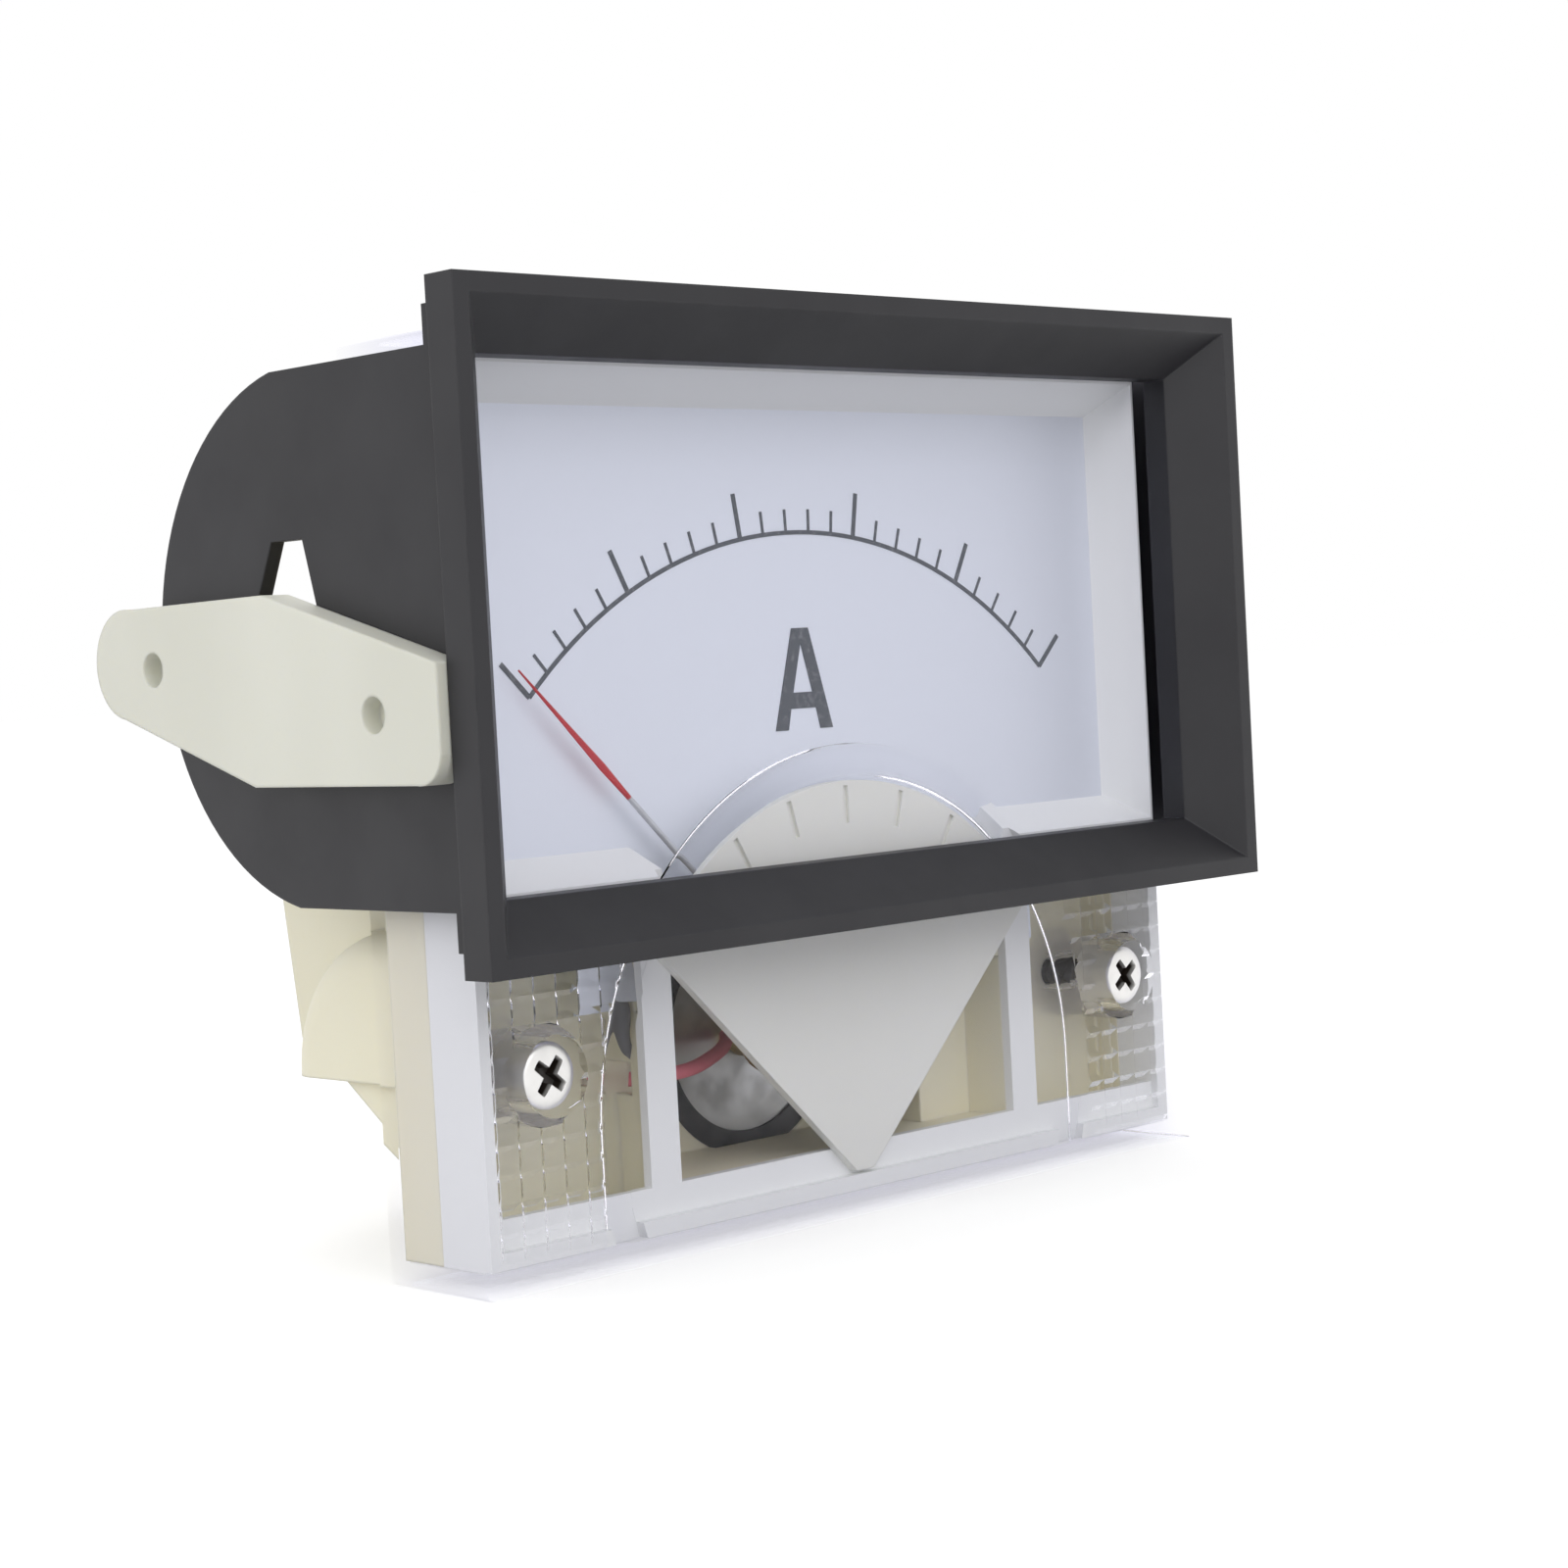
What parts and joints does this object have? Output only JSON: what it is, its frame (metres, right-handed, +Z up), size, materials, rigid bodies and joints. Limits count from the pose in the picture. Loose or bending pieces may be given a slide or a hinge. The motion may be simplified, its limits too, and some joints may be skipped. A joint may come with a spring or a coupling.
{
  "type": "analog panel meter",
  "caption": "Wide flush-mounting moving-coil panel meter: dark bezel, clear-fronted body, swing-out clamp brackets at the sides and rear terminal studs.",
  "frame": {"origin": "centre of the rectangular panel cut-out, in the plane of the panel's front face, where the bezel's flange seats", "axes": "+X to the right as the dial is read, +Y back through the panel along the meter's depth, +Z up"},
  "size_m": [0.1092, 0.066, 0.089],
  "materials": {
    "bezel_plastic": "fine matt grain",
    "bracket_plastic": "satin",
    "clear_plastic": "clear, polished",
    "mask_plastic": "satin",
    "dial_enamel": "satin enamel",
    "scale_ink": "printed ink",
    "base_plastic": "satin",
    "pointer_paint": "satin",
    "steel": "plain",
    "yoke_steel": "dark, phosphated",
    "magnet_alloy": "ground",
    "aluminium": "satin",
    "copper": "enamelled wire",
    "brass": "plain",
    "red_sleeve": "soft insulation",
    "black_sleeve": "soft insulation"
  },
  "bodies": {
    "meter_body": {"bezel_frame": "bezel_plastic", "clear_cover": "clear_plastic", "cover_screws": "steel", "dial_mask": "mask_plastic", "dial_plate": "dial_enamel", "scale_print": "scale_ink", "hub_shield": "mask_plastic", "rear_base": "base_plastic", "front_hairspring": "copper", "rear_hairspring": "copper", "front_jewel_screw": "brass", "rear_jewel_screw": "brass", "front_bridge": "aluminium", "rear_bridge": "aluminium", "zero_lever": "brass", "yoke_ring": "yoke_steel", "core_magnet": "magnet_alloy", "core_spacers": "brass", "bridge_screws": "steel", "shunt_strip": "brass", "terminal_studs": "brass", "inner_nuts": "brass", "terminal_washers": "steel", "terminal_nuts": "brass", "red_lead": "red_sleeve", "black_lead": "black_sleeve"},
    "pointer_movement": {"pointer": "pointer_paint", "balance_weights": "brass", "pivot_staffs": "steel", "coil_former": "aluminium", "coil_winding": "copper"},
    "left_clamp": {"left_clamp_bracket": "bracket_plastic"},
    "right_clamp": {"right_clamp_bracket": "bracket_plastic"}
  },
  "joints": [
    {"name": "pointer_swing", "type": "hinge", "parent": "meter_body", "child": "pointer_movement", "pos_m": [0, 0.0093, -0.042], "axis": [0, 1, 0], "range_deg": [-2, 92], "stiffness_Nm_per_rad": 0.00002},
    {"name": "left_clamp_turn", "type": "hinge", "parent": "meter_body", "child": "left_clamp", "pos_m": [-0.053, 0.0263, -0.0045], "axis": [1, 0, 0], "range_deg": [0, 90]},
    {"name": "right_clamp_turn", "type": "hinge", "parent": "meter_body", "child": "right_clamp", "pos_m": [0.053, 0.0263, -0.0045], "axis": [1, 0, 0], "range_deg": [0, 90]}
  ]
}
